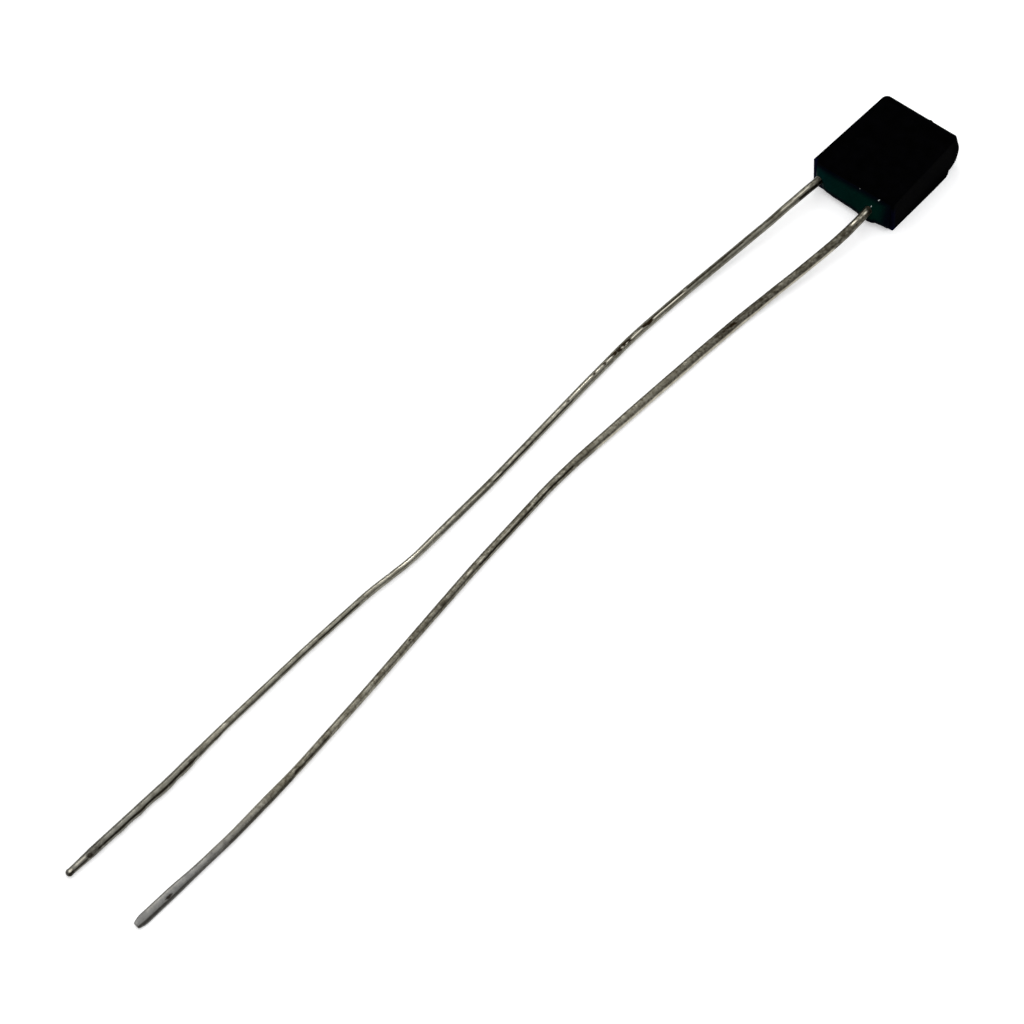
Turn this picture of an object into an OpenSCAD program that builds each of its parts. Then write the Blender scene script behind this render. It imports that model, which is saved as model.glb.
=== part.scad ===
// Radial thermal cut-off: a moulded cup, an epoxy seal, two formed wire leads and,
// sealed inside, a low-melting link in a bed of flux.
// The part lies flat. The origin is the middle of the cup's underside, +Z is up, the cup's
// closed end is towards +Y and the leads run out of its mouth towards -Y. Millimetres.

/* [Case] */
// Length of the cup, from its mouth to its closed end
case_l = 7; // [5.8:0.1:9]
// Width of the cup across its mouth
mouth_w = 6.25; // [6:0.05:8]
// Mould draft: how much narrower the cup is at its closed end
draft_w = 0.5; // [0.1:0.05:0.7]
// Thickness of the cup, from its underside to its top
case_t = 2.35; // [1.95:0.05:3.5]
// Wall of the cup, the same all round
wall = 0.25; // [0.2:0.01:0.35]
// Radius of the two upright corners at the closed end
corner_r = 0.45; // [0.4:0.05:0.8]

/* [Gate mark] */
// Diameter of the stub left where the cup was filled
gate_d = 0.5; // [0.3:0.05:0.8]
// Height of that stub above the closed end
gate_h = 0.08; // [0.03:0.01:0.15]
// Place of the stub across the closed end
gate_x = 0.7; // [-1.5:0.1:1.5]
// Distance of the stub below the top face
gate_drop = 0.05; // [0.05:0.05:0.8]

/* [Seal] */
// Depth of the epoxy inside the mouth
seal_depth = 2; // [1.2:0.1:2.4]
// How far the middle of the epoxy bulges out of the mouth
seal_crown = 0.5; // [0.2:0.05:0.7]
// How much wider than the wire the epoxy's collar round each lead is, on each side
collar_w = 0.15; // [0.05:0.01:0.16]
// Width of that collar's rim where it ends on the wire
collar_rim = 0.03; // [0.02:0.01:0.05]
// How far that collar reaches out of the mouth
collar_reach = 0.6; // [0.3:0.05:0.6]

/* [Leads] */
// Diameter of the tinned copper wire
wire_d = 0.55; // [0.45:0.01:0.7]
// Distance between the two leads in the seal
lead_pitch = 3.9; // [3.3:0.05:4.7]
// Clear gap between the left lead's inner end and the cup's side wall
side_gap = 0.04; // [0.03:0.01:0.3]
// How far behind the seal the leads end
lead_tail = 2.5; // [1.6:0.1:2.6]
// How much thinner the wire's radius is in a bend, and where a shaped tip leaves the wire
thinning = 0.01; // [0.005:0.005:0.02]

/* [Lead ends] */
// Length of the pinched neck beside the left lead's bead
neck_l = 1.3; // [0.8:0.1:2]
// Diameter of that neck where it meets the bead
neck_d = 0.36; // [0.3:0.02:0.4]
// Diameter of the bead on the left lead's end
bead_d = 0.44; // [0.42:0.01:0.45]
// Length of the taper on the right lead's end
bevel_l = 0.5; // [0.2:0.1:1]
// Diameter of the flat left on the right lead's end
bevel_d = 0.3; // [0.2:0.02:0.4]

/* [Link] */
// How much thicker than the wire the low-melting bar is
link_extra = 0.15; // [0.1:0.01:0.3]
// How far the bar reaches past the middle of each lead
link_overhang = 0.25; // [0.1:0.05:0.25]
// Distance from the inner end of the leads to the middle of the bar
link_setback = 0.2; // [0.1:0.05:0.25]

/* [Flux] */
// Air space left between the flux and the closed end
air_gap = 0.6; // [0.3:0.1:1]

/* [Hidden] */
$fn = 64;

mouth_y = -case_l / 2;
end_y = case_l / 2;
seal_y = mouth_y + seal_depth;
tail_y = seal_y + lead_tail;
wire_r = wire_d / 2;
lead_z = case_t / 2;
link_r = wire_r + link_extra / 2;
link_y = tail_y - link_setback;

// Half the width of the cup, at a distance y along it
function half_w(y) = (mouth_w - draft_w * (y - mouth_y) / case_l) / 2;

left_x = side_gap + wire_r + wall - half_w(tail_y);
right_x = left_x + lead_pitch;

// Short sides that draw one rounded corner of the cup
CORNER_SIDES = 8;
// A cutter runs past the face that it cuts by this much
SPILL = 1;
// A bend or a shaped tip runs into the straight wire that it joins by this much
LAP = 0.15;

// The leads are bent by hand once the seal has set. Each row is one bend of a route:
// how far it lies across from the lead's hole in the seal, how far out of the mouth, its
// height (1 is level with the hole, 0 is lying on the table) and the radius of the bend.
// The last row is the tip.
LEFT_ROUTE = [
  [0, 0.8, 1, 5],
  [-1.45, 12.5, 0, 30],
  [-1.7, 17, 0, 40],
  [-1.6, 21.5, 0, 40],
  [-1.25, 31, 0, 60],
  [-1.2, 38.5, 0, 15],
  [-1.6, 42, 0, 15],
  [-1.8, 47.5, 0, 60],
  [-1.9, 55, 0, 40],
  [-1.8, 59.5, 0, 20],
  [-2.05, 68.4, 0, 0],
];
RIGHT_ROUTE = [
  [0, 0.8, 1, 5],
  [-0.1, 3.2, 0.8, 20],
  [-1.25, 11.5, 0, 30],
  [-1.55, 15.5, 0, 40],
  [-2.15, 26.5, 0, 40],
  [-2.2, 29, 0, 30],
  [-1.75, 37, 0, 60],
  [-0.85, 48, 0, 60],
  [-0.4, 55, 0, 60],
  [-0.25, 60.5, 0, 40],
  [-0.4, 68.6, 0, 0],
];

function unit(v) = v / norm(v);

// The route of a lead in the part's frame, from its inner end to its tip
function route_points(x, route) = concat(
  [[x, tail_y, lead_z]],
  [for (row = route) [x + row[0], mouth_y - row[1], wire_r + row[2] * (lead_z - wire_r)]]
);
function route_radii(route) = concat([0], [for (row = route) row[3]]);

function heading(points, i) = unit(points[i] - points[i - 1]);
function turn(points, i) = acos(heading(points, i) * heading(points, i + 1));

// Straight wire that the bend at a point takes up on each side of it
function bend_take(points, radii, i) = radii[i] == 0 ? 0 : radii[i] * tan(turn(points, i) / 2);

// Where the straight wire before a point starts and ends
function straight_start(points, radii, i) =
  points[i - 1] + heading(points, i) * bend_take(points, radii, i - 1);
function straight_end(points, radii, i) =
  points[i] - heading(points, i) * bend_take(points, radii, i);

// Plan of the cup from y0 to its closed end, inset from its walls, with rounded far corners
module cup_plan(y0, inset, r) {
  lean = atan(draft_w / 2 / case_l);
  far_y = end_y - inset;
  arc_x = half_w(far_y) - inset - r * tan(45 - lean / 2);
  arc_y = far_y - r;
  angles = [for (i = [0 : CORNER_SIDES]) lean + (90 - lean) * i / CORNER_SIDES];
  far_right = [for (a = angles) [arc_x + r * cos(a), arc_y + r * sin(a)]];
  far_left = [for (i = [CORNER_SIDES : -1 : 0]) [-far_right[i][0], far_right[i][1]]];
  near = [[inset - half_w(y0), y0], [half_w(y0) - inset, y0]];
  polygon(concat(near, far_right, far_left));
}

// The hollow of the cup, run on out of its mouth
module cavity() {
  translate([0, 0, wall])
    linear_extrude(case_t - 2 * wall)
    cup_plan(mouth_y - SPILL, wall, corner_r - wall);
}

// The part of the cavity between two distances along the cup
module cavity_slice(y0, y1) {
  intersection() {
    cavity();
    translate([-mouth_w, y0, -SPILL])
      cube([2 * mouth_w, y1 - y0, case_t + 2 * SPILL]);
  }
}

// Puts a child's +Z along a direction, from a point
module along(point, direction) {
  translate(point)
    rotate([0, 0, atan2(direction[1], direction[0])])
    rotate([0, acos(direction[2]), 0])
    children();
}

// One bend of a lead, a little into the straights at its ends
module bend(points, radii, i) {
  into = heading(points, i);
  axis = unit(cross(into, heading(points, i + 1)));
  inward = cross(axis, into);
  centre = straight_end(points, radii, i) + inward * radii[i];
  lap = LAP / radii[i] * 180 / PI;
  multmatrix([
    [-inward[0], into[0], axis[0], centre[0]],
    [-inward[1], into[1], axis[1], centre[1]],
    [-inward[2], into[2], axis[2], centre[2]],
    [0, 0, 0, 1]
  ])
    rotate([0, 0, -lap])
    rotate_extrude(angle = turn(points, i) + 2 * lap)
    translate([radii[i], 0])
    circle(r = wire_r - thinning);
}

// The formed wire of a lead, less a length at its tip for the shaped end
module formed_wire(points, radii, end_l) {
  last = len(points) - 1;
  for (i = [1 : last]) {
    start = straight_start(points, radii, i);
    run = norm(straight_end(points, radii, i) - start);
    along(start, heading(points, i))
      cylinder(r = wire_r, h = i == last ? run - end_l : run);
  }
  for (i = [1 : last - 1])
    bend(points, radii, i);
}

// Puts a child at a lead's tip, with its +Z pointing back up the wire
module at_tip(points) {
  last = len(points) - 1;
  along(points[last], -heading(points, last)) children();
}

// The straight of a lead that lies in the seal and in the link
module seal_straight(x) {
  translate([x, tail_y, lead_z])
    rotate([90, 0, 0])
    cylinder(r = wire_r, h = tail_y - mouth_y + SPILL);
}

// The epoxy that stands out of the mouth: round in plan and round in section
module seal_bulge() {
  half_plan = half_w(mouth_y) - wall;
  half_section = case_t / 2 - wall;
  plan_r = (pow(half_plan, 2) + pow(seal_crown, 2)) / (2 * seal_crown);
  section_r = (pow(half_section, 2) + pow(seal_crown, 2)) / (2 * seal_crown);
  crown_y = mouth_y - seal_crown;
  intersection() {
    cavity_slice(mouth_y - SPILL, mouth_y + wall / 2);
    translate([0, crown_y + plan_r, -SPILL])
      cylinder(r = plan_r, h = case_t + 2 * SPILL, $fn = 240);
    translate([-mouth_w, crown_y + section_r, lead_z])
      rotate([0, 90, 0])
      cylinder(r = section_r, h = 2 * mouth_w, $fn = 120);
  }
}

// The epoxy drawn up round one lead
module collar(x) {
  translate([x, mouth_y, lead_z])
    rotate([90, 0, 0])
    cylinder(r1 = wire_r + collar_w, r2 = wire_r + collar_rim, h = collar_reach);
}

// The low-melting bar before the leads' ends are let into it
module link_bar() {
  translate([left_x - link_overhang, link_y, lead_z])
    rotate([0, 90, 0])
    cylinder(r = link_r, h = lead_pitch + 2 * link_overhang);
}

// Moulded thermoplastic cup, open at the leads' end
module case() {
  color("#0b0b0d")
    difference() {
      union() {
        linear_extrude(case_t)
          cup_plan(mouth_y, 0, corner_r);
        translate([gate_x, end_y - wall / 2, case_t - gate_drop - gate_d / 2])
          rotate([-90, 0, 0])
          cylinder(d = gate_d, h = wall / 2 + gate_h);
      }
      cavity();
    }
}

// Epoxy poured into the mouth, which holds the leads and seals the cup
module sealing_resin() {
  color("#0c2f2b")
    difference() {
      union() {
        cavity_slice(mouth_y, seal_y);
        seal_bulge();
        collar(left_x);
        collar(right_x);
      }
      seal_straight(left_x);
      seal_straight(right_x);
    }
}

// Lead with a pinched neck and a bead at its tip
module lead_left() {
  points = route_points(left_x, LEFT_ROUTE);
  color("#a9a79f") {
    formed_wire(points, route_radii(LEFT_ROUTE), neck_l + bead_d / 2);
    at_tip(points) {
      translate([0, 0, bead_d / 2]) {
        sphere(d = bead_d);
        cylinder(r1 = neck_d / 2, r2 = wire_r - thinning, h = neck_l + LAP);
      }
    }
  }
}

// Lead with a tapered tip
module lead_right() {
  points = route_points(right_x, RIGHT_ROUTE);
  color("#8f8d86") {
    formed_wire(points, route_radii(RIGHT_ROUTE), bevel_l);
    at_tip(points)
      cylinder(r1 = bevel_d / 2, r2 = wire_r - thinning, h = bevel_l + LAP);
  }
}

// Low-melting alloy bar that joins the two leads until it melts
module fusible_link() {
  color("#b9bcc0")
    difference() {
      link_bar();
      seal_straight(left_x);
      seal_straight(right_x);
    }
}

// Waxy flux packed round the link, which draws the molten alloy back to the leads
module flux() {
  color("#b98a3a")
    difference() {
      cavity_slice(seal_y, end_y - wall - air_gap);
      link_bar();
      seal_straight(left_x);
      seal_straight(right_x);
    }
}

case();
sealing_resin();
lead_left();
lead_right();
fusible_link();
flux();
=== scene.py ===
import math

import bmesh
import bpy
from mathutils import Matrix, Vector, noise


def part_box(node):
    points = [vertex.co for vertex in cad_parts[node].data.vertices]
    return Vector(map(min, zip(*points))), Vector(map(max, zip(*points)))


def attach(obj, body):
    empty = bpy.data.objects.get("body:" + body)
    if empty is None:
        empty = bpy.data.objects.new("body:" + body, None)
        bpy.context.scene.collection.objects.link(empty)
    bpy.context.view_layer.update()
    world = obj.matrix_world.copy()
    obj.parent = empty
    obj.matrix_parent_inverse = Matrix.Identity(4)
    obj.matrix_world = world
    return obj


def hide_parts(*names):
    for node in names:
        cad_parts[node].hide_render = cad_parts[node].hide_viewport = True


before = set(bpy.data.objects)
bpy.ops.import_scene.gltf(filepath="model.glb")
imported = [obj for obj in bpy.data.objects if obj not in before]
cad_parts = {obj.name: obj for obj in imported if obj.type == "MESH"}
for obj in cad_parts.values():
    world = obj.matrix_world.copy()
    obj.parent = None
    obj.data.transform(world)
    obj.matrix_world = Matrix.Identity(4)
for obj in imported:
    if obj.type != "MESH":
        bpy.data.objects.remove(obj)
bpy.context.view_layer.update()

# ------------------------------------------------------------------------------------- case
# The cup that holds everything is one injection moulding of black thermoplastic polyester,
# open at the leads' end. The mould drafts its sides, leaves a torn gate stub on the closed
# end, and lets the broad faces shrink a little hollow as the plastic cools.

# Sizes are in millimetres, and MM turns them into the frame's metres
MM = 0.001
cup_low, cup_high = (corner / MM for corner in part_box("case"))
GATE_HEIGHT = 0.08
GATE_R = 0.25
GATE_X = 0.7
GATE_DROP = 0.05
MOUTH_Y = cup_low.y
END_Y = cup_high.y - GATE_HEIGHT
CUP_T = cup_high.z
MOUTH_W = cup_high.x - cup_low.x
DRAFT_W = 0.5
WALL = 0.25
LEFT_CORNER_R = 0.4
RIGHT_CORNER_R = 0.32
INNER_LEFT_R = 0.25
TOP_EDGE_R = 0.06
LOW_EDGE_R = 0.08
END_EDGE_R = 0.04
INNER_EDGE_R = 0.05
RIM_R = 0.03
HEEL_R = 0.95
SINK = 0.02
LEAN = math.atan(DRAFT_W / 2 / (END_Y - MOUTH_Y))
STATION = 0.28


def half_width(y):
    """Half the width of the cup at a distance y along it, in millimetres."""
    return (MOUTH_W - DRAFT_W * (y - MOUTH_Y) / (END_Y - MOUTH_Y)) / 2


def wall_x(y, inset, r):
    """Distance from the cup's middle to one side wall, which turns in at the closed end."""
    arc_x = half_width(END_Y - inset) - inset - r * math.tan(math.pi / 4 - LEAN / 2)
    past = y - (END_Y - inset - r)
    if past <= r * math.sin(LEAN):
        return half_width(y) - inset
    return arc_x + math.sqrt(max(0.0, r ** 2 - past ** 2))


def stations(inset):
    """Distances along the cup for its cross-sections, close together at the closed end."""
    far_y, turn_y = END_Y - inset, END_Y - HEEL_R
    count = round((turn_y - MOUTH_Y) / STATION)
    straight = [MOUTH_Y + (turn_y - MOUTH_Y) * i / count for i in range(1, count)]
    degrees = (0, 8, 16, 24, 32, 40, 48, 56, 63, 70, 75, 80, 85, 90)
    return straight + [turn_y + (far_y - turn_y) * math.sin(math.radians(a)) for a in degrees]


def heel(y, inset):
    """How high the lower face has curved up at y, where it turns into the closed end."""
    past = min(HEEL_R - inset, max(0.0, y - (END_Y - HEEL_R)))
    return HEEL_R - math.sqrt(max(0.0, (HEEL_R - inset) ** 2 - past ** 2))


def section_ring(y, left, right, low, high, r_low, r_high, wide=66, tall=8, corner=5):
    """Points round one cross-section of the cup, from its lower right corner upwards."""
    centres = [(right - r_low, low + r_low, r_low), (right - r_high, high - r_high, r_high),
               (r_high - left, high - r_high, r_high), (r_low - left, low + r_low, r_low)]
    arcs = []
    for turn, (x, z, r) in enumerate(centres):
        angles = [math.pi / 2 * (turn - 1 + i / corner) for i in range(corner + 1)]
        arcs.append([(x + r * math.cos(a), z + r * math.sin(a)) for a in angles])
    ring = []
    for turn, arc in enumerate(arcs):
        ring += arc
        end, start = arc[-1], arcs[(turn + 1) % 4][0]
        count = wide if turn % 2 else tall
        for i in range(1, count):
            ring.append((end[0] + (start[0] - end[0]) * i / count,
                         end[1] + (start[1] - end[1]) * i / count))
    return [Vector((x, y, z)) for x, z in ring]


def loft(rings):
    """The points and faces of a body through rings of as many points each: the quads between
    them, then its two ends."""
    size = len(rings[0])
    points = [point for ring in rings for point in ring]
    faces = [(i * size + j, i * size + (j + 1) % size,
              (i + 1) * size + (j + 1) % size, (i + 1) * size + j)
             for i in range(len(rings) - 1) for j in range(size)]
    return points, faces + [tuple(range(size)), tuple(range(len(points) - size, len(points)))]


def add_piece(name, points, faces, **layers):
    """A smooth mesh object in the frame, from points in millimetres, with its faces outwards.
    Each layer gives a value to every point, for its material to use."""
    mesh = bpy.data.meshes.new(name)
    mesh.from_pydata([point * MM for point in points], [], faces)
    work = bmesh.new()
    work.from_mesh(mesh)
    bmesh.ops.recalc_face_normals(work, faces=work.faces)
    work.to_mesh(mesh)
    work.free()
    mesh.shade_smooth()
    for layer, values in layers.items():
        mesh.attributes.new(layer, "FLOAT", "POINT").data.foreach_set("value", values)
    piece = bpy.data.objects.new(name, mesh)
    bpy.context.scene.collection.objects.link(piece)
    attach(piece, "root")
    return piece


def smooth(t):
    """A ramp from 0 to 1 with level ends."""
    t = min(1.0, max(0.0, t))
    return t * t * (3 - 2 * t)


# What the mould and the shrinkage do to the drawn cup: how far each fault moves its surface,
# where it lies, and over what distance it rises, fades or spreads in height
ASKEW = 0.0229
ASKEW_FROM_X = 1.0
BULGE = 0.14
BULGE_REACH = 0.7
BULGE_Z = 1.3
BULGE_SPREAD = 0.75
LIP = 0.11
LIP_X = 2.5
LIP_RISE = 0.35
LIP_END_X = 2.9
LIP_FADE = 0.2
LIP_SPREAD = 0.2
LIP_BACK = 0.05
FLASH = 0.2
FLASH_SPREAD = 0.12
FLASH_BACK = 0.1
FLASH_SHORT = 1.1
FLASH_FADE = 0.2


def as_moulded(point):
    """Where a point of the drawn cup really lies. The broad faces have sunk a little, the
    closed end is slightly askew and its right corner bulges at mid-height. A lip hangs off the
    rim at its lower right, and flash runs along the lower right edge as far as the heel."""
    along = (point.y - MOUTH_Y) / (END_Y - MOUTH_Y)
    across = max(0.0, 1 - (point.x / half_width(point.y)) ** 2)
    side = 1 if point.z > CUP_T - TOP_EDGE_R / 2 else -1 if point.z < TOP_EDGE_R / 2 else 0
    sunk = side * SINK * across * max(0.0, 4 * along * (1 - along))
    askew = -ASKEW * (point.x - ASKEW_FROM_X) * max(0.0, along) ** 2
    to_corner = math.hypot(half_width(END_Y) - point.x, END_Y - point.y)
    bulge = BULGE * smooth(1 - to_corner / BULGE_REACH)
    bulge *= math.exp(-((point.z - BULGE_Z) / BULGE_SPREAD) ** 2)
    lip = LIP * smooth((point.x - LIP_X) / LIP_RISE) * math.exp(-(point.z / LIP_SPREAD) ** 2)
    lip *= 1 - smooth((point.x - LIP_END_X) / LIP_FADE)
    lip *= smooth((MOUTH_Y + LIP_BACK - point.y) / LIP_BACK)
    moved = point + Vector((bulge, askew + bulge - lip, -sunk))
    flash = FLASH * smooth((point.x - half_width(point.y) + WALL) / FLASH_BACK)
    flash *= math.exp(-(point.z / FLASH_SPREAD) ** 2)
    flash *= smooth((END_Y - FLASH_SHORT - point.y) / FLASH_FADE)
    moved.x = max(moved.x, min(moved.x + flash, MOUTH_W / 2))
    return moved


def rim_ring(turn, inset, r_low, r_high):
    """A ring on the mouth's rounded rim, at a turn in degrees and a distance in from outside."""
    back = RIM_R * (1 - math.sin(math.radians(turn)))
    half_x = half_width(MOUTH_Y) - inset
    return section_ring(MOUTH_Y + back, half_x, half_x, inset, CUP_T - inset, r_low, r_high)


RIM_TURNS = (0, 30, 60, 90)
rings = []
for y in reversed(stations(WALL)):
    rings.append(section_ring(y, wall_x(y, WALL, INNER_LEFT_R), wall_x(y, WALL, RIGHT_CORNER_R),
                              heel(y, WALL), CUP_T - WALL, INNER_EDGE_R, INNER_EDGE_R))
for turn in RIM_TURNS:
    inset = WALL - RIM_R * (1 - math.cos(math.radians(turn)))
    rings.append(rim_ring(turn, inset, INNER_EDGE_R, INNER_EDGE_R))
for turn in reversed(RIM_TURNS):
    inset = RIM_R * (1 - math.cos(math.radians(turn)))
    rings.append(rim_ring(turn, inset, LOW_EDGE_R, TOP_EDGE_R))
for y in stations(0):
    near_end = max(0.0, y - (END_Y - END_EDGE_R))
    inset = END_EDGE_R - math.sqrt(max(0.0, END_EDGE_R ** 2 - near_end ** 2))
    rings.append(section_ring(y, wall_x(y, 0, LEFT_CORNER_R), wall_x(y, 0, RIGHT_CORNER_R),
                              heel(y, 0), CUP_T - inset, LOW_EDGE_R, TOP_EDGE_R))

# The closed end runs in to the gate stub, which was twisted off: its top is torn and dished.
# RUN_IN has shares of the way in to it, and GATE_PROFILE shares of its height and radius.
TORN_HEIGHT = 0.058
TORN_SHARE = 0.25
TORN_PER_MM = 9
RUN_IN = (0.06, 0.2, 0.4, 0.6, 0.8, 0.93, 1.0)
GATE_PROFILE = ((0.4, 1.0), (0.75, 0.97), (1, 0.86), (0.8, 0.5), (0.7, 0.2))
gate_centre = Vector((GATE_X, END_Y, CUP_T - GATE_DROP - GATE_R))
outline = rings[-1]
gate_rays = [(point - gate_centre).normalized() for point in outline]
foot = [gate_centre + ray * GATE_R for ray in gate_rays]
for part in RUN_IN:
    rings.append([point.lerp(base, part) for point, base in zip(outline, foot)])
for height, r in GATE_PROFILE:
    ring = []
    for ray in gate_rays:
        spot = gate_centre + ray * GATE_R * r
        torn = noise.noise(Vector((TORN_PER_MM * spot.x, 3, TORN_PER_MM * spot.z)))
        stands = TORN_HEIGHT * min(1.0, height * (1 + TORN_SHARE * torn))
        ring.append(spot + Vector((0, stands, GATE_DROP * max(0.0, ray.z) * r)))
    rings.append(ring)

# The blue sheen painted on the rim: how far it reaches in from each side, and over what it then fades
CAST_LEFT = (0.2, 0.15)
CAST_LOW = (0.15, 0.2)
CAST_RIGHT = (0.2, 0.1)
CAST_RIGHT_TOP = (1.5, 0.4)
CAST_RIGHT_SHARE = 0.5
CAST_BACK = (0.03, 0.05)


def near(gap, reach, fade):
    """1 as far as its reach, and then falling to 0 over its fade."""
    return 1 - smooth((gap - reach) / fade)


def blue_cast(point):
    """How much blue sheen is painted on a point: on the rim's left and underside, and half as much on
    its right.
    """
    left = near(point.x + MOUTH_W / 2, *CAST_LEFT)
    low = near(point.z, *CAST_LOW)
    right = near(MOUTH_W / 2 - point.x, *CAST_RIGHT) * near(point.z, *CAST_RIGHT_TOP)
    return max(left, low, CAST_RIGHT_SHARE * right) * near(point.y - MOUTH_Y, *CAST_BACK)


points, faces = loft([[as_moulded(point) for point in ring] for ring in rings])
case = add_piece("case_moulding", points, faces, blue_cast=[blue_cast(point) for point in points])
weighted = case.modifiers.new("flat_faces_stay_flat", "WEIGHTED_NORMAL")
weighted.keep_sharp = True


def linear(hex_colour):
    """An sRGB hex colour as the linear colour that shaders take."""
    parts = [int(hex_colour[i:i + 2], 16) / 255 for i in (1, 3, 5)]
    return (*[c / 12.92 if c <= 0.04045 else ((c + 0.055) / 1.055) ** 2.4 for c in parts], 1)


def new_material(name):
    """An empty node material and its tree."""
    material = bpy.data.materials.new(name)
    material.use_nodes = True
    material.node_tree.nodes.clear()
    return material, material.node_tree


def add_node(tree, kind, inputs=None, stops=(), **settings):
    """Adds a shader node. Each of its inputs is given a value, an output to link to, or a node,
    whose first output is linked."""
    node = tree.nodes.new("ShaderNode" + kind)
    for name, value in settings.items():
        setattr(node, name, value)
    for name, value in (inputs or {}).items():
        value = value.outputs[0] if isinstance(value, bpy.types.Node) else value
        if isinstance(value, bpy.types.NodeSocket):
            tree.links.new(value, node.inputs[name])
        else:
            node.inputs[name].default_value = value
    for i, (place, colour) in enumerate(stops):
        elements = node.color_ramp.elements
        stop = elements[i] if i < 2 else elements.new(place)
        stop.position, stop.color = place, colour
    return node


# Black polyester, injection moulded in a spark-eroded cavity: deep black, with a fine satin
# grain that scatters what little light it sends back. The real grain is about 0.02 mm across,
# and it is drawn at 0.07 mm so that it shows. Flow marks mottle it at about 0.8 mm, and a blue
# sheen of light is painted on the rim of the mouth.
GRAIN_PER_M = 1 / (0.07 * MM)
FLOW_PER_M = 1 / (0.8 * MM)
polyester, tree = new_material("black_polyester_moulded")
place = add_node(tree, "TexCoord").outputs["Object"]
flow = add_node(tree, "TexNoise", {"Vector": place, "Scale": FLOW_PER_M, "Detail": 4.0})
grain = add_node(tree, "TexNoise", {"Vector": place, "Scale": GRAIN_PER_M, "Detail": 3.0})
black = add_node(tree, "ValToRGB", {"Fac": flow},
                 stops=[(0.35, linear("#010101")), (0.7, linear("#030304"))])
# The blue sheen painted on the rim is mixed into the black here
cast = add_node(tree, "Attribute", attribute_name="blue_cast")
hue = add_node(tree, "Mix", {0: cast.outputs["Fac"], 6: black, 7: linear("#06081e")},
               data_type="RGBA")
satin = add_node(tree, "MapRange", {"Value": flow, "From Min": 0.3, "From Max": 0.7,
                                    "To Min": 0.5, "To Max": 0.62})
relief = add_node(tree, "Bump", {"Height": grain, "Strength": 0.35, "Distance": 0.006 * MM})
shader = add_node(tree, "BsdfPrincipled",
                  {"Base Color": hue.outputs[2], "Roughness": satin, "Normal": relief,
                   "IOR": 1.57, "Specular IOR Level": 0.0015})
add_node(tree, "OutputMaterial", {"Surface": shader})

case.data.materials.append(polyester)
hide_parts("case")

# ---------------------------------------------------------------------------- sealing resin
# Dark green two-part epoxy is poured into the mouth with the leads standing in it. It wets the
# walls, sags out over the lower rim before it gels, most of all round the right lead, and
# draws up the two wires in small collars.
SEAL_DEPTH = 2
SEAL_Y = MOUTH_Y + SEAL_DEPTH
LEAD_Z = CUP_T / 2
lead_tops = {name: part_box(name)[1] / MM for name in ("lead_left", "lead_right")}
WIRE_R = lead_tops["lead_left"].z - LEAD_Z
LEFT_X = lead_tops["lead_left"].x - WIRE_R
RIGHT_X = lead_tops["lead_right"].x - WIRE_R
RESIN_GAP = 0.004
MOUTH_HALF = half_width(MOUTH_Y) - WALL - RESIN_GAP
MOUTH_TOP = CUP_T - WALL - RESIN_GAP
MOUTH_FLOOR = WALL + RESIN_GAP
RESIN_ACROSS = 170
RESIN_DOWN = 64
# Each collar climbs its wire by a share of this height, and BLEND is how sharply it joins
COLLAR_H = 0.42
COLLAR_FADE = 0.13
COLLAR_LEAST = 0.004
COLLARS = ((LEFT_X, 0.8), (RIGHT_X, 0.85))
BLEND = 9
# The face is an uneven hump that swells in the middle, draws back from the edges that it
# wets, and is faintly wavy. The swell's fades at its top and foot, and LIP_EVEN and WAVE_EVEN,
# are shares of the face's height, and the other fades are distances.
HUMP_UP, HUMP_DOWN = 2.1, 0.55
HUMP_PEAK = ((HUMP_UP / (HUMP_UP + HUMP_DOWN)) ** HUMP_UP
             * (HUMP_DOWN / (HUMP_UP + HUMP_DOWN)) ** HUMP_DOWN)
SWELL = 0.06
SWELL_TOP_FADE = 0.3
SWELL_LOW_FADE = 0.1
SWELL_SIDE_FADE = 0.5
WET_SIDE = 0.02
WET_SIDE_FADE = 0.12
WET_TOP = 0.03
WET_TOP_FADE = 0.15
WAVE = 0.018
WAVE_PER_MM = 1.3
LIP_EVEN = 0.15
WAVE_EVEN = 0.2
# How far the resin sags out of the mouth, and how low its lip hangs, across the mouth
SAG = [(-2.9, 0.0, 0.25), (-2.35, 0.05, 0.25), (-2.1, 0.25, 0.2), (-1.8, 0.29, 0.16),
       (-1.2, 0.34, 0.12), (0, 0.385, 0.1), (0.5, 0.43, 0.09), (0.9, 0.52, 0.08),
       (1.25, 0.58, 0.06), (1.5, 0.61, 0.06), (1.8, 0.58, 0.08), (2.1, 0.44, 0.12),
       (2.5, 0.4, 0.14), (2.8, 0.45, 0.15), (2.9, 0.47, 0.15)]
# Painted highlights, as white glints on the resin: across, height, half length, half width. They
# all lie along one slope, which is given as across and up, and their edges are a little soft.
PAINTED_GLINTS = [(1.98, 2.0, 0.11, 0.024), (1.62, 1.47, 0.04, 0.022), (0.5, 2.04, 0.03, 0.02)]
GLINT_SLOPE = (0.59, 0.81)
GLINT_EDGE = (0.65, 0.5)


def along_table(rows, place):
    """The values of rows of (place, value, ...) at a place between two of them."""
    for before, after in zip(rows, rows[1:]):
        if place <= after[0]:
            part = smooth((place - before[0]) / (after[0] - before[0]))
            return [a + (b - a) * part for a, b in zip(before[1:], after[1:])]
    return list(rows[-1][1:])


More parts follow.
